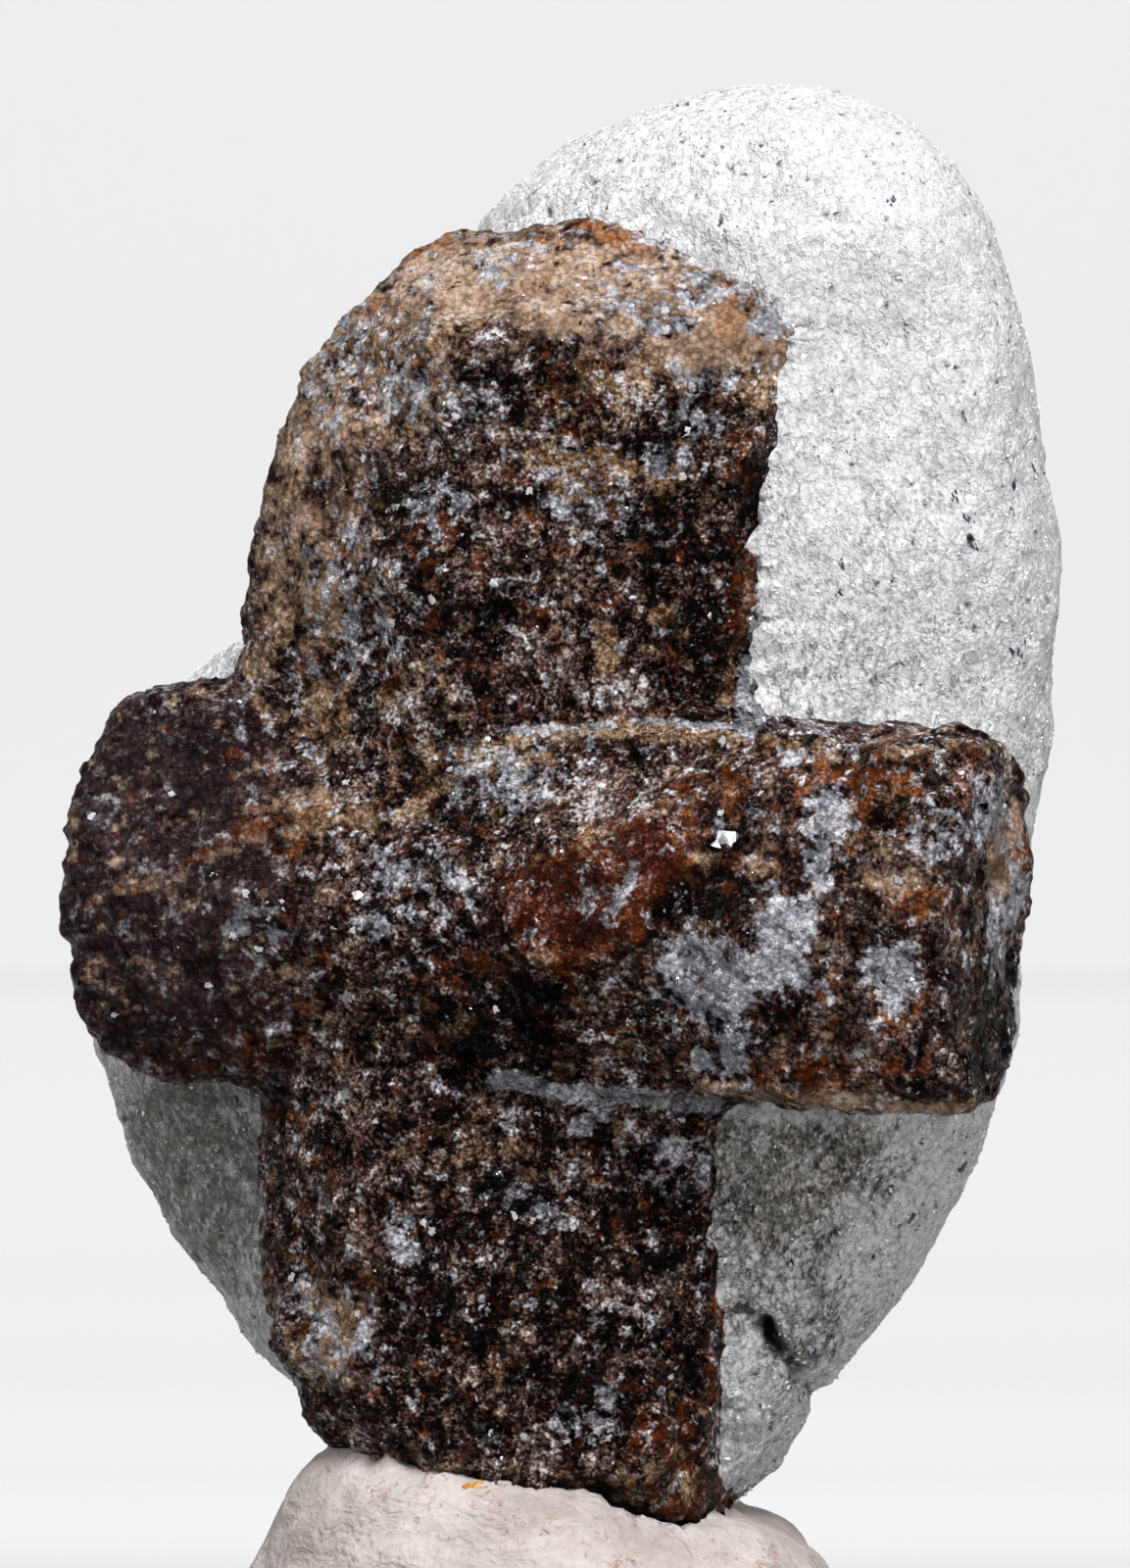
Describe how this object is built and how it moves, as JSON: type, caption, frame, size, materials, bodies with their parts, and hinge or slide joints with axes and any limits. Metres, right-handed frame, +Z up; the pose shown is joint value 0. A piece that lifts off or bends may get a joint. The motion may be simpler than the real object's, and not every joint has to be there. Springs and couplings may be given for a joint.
{
  "type": "staurolite cross specimen",
  "caption": "Cross of two staurolite crystals grown through each other at a right angle, set in pale schist and standing on a lump of mounting putty.",
  "frame": {"origin": "under the middle of the object's box, on the surface that the putty stands on", "axes": "+Z up along the upright crystal, +X to the right and +Y away from the viewer as the specimen is seen from its front, where the face of the cross shows"},
  "size_m": [0.022, 0.017, 0.0363],
  "materials": {
    "staurolite": "rough dark red-brown crystal faces with embedded quartz grains and ochre stain",
    "schist": "sugary light grey quartz and mica grains with dark flecks",
    "putty": "matte creamy pink with soft folds and fine fibres"
  },
  "bodies": {
    "root": {"staurolite_twin": "staurolite", "schist_matrix": "schist", "putty_lump": "putty"}
  },
  "joints": []
}
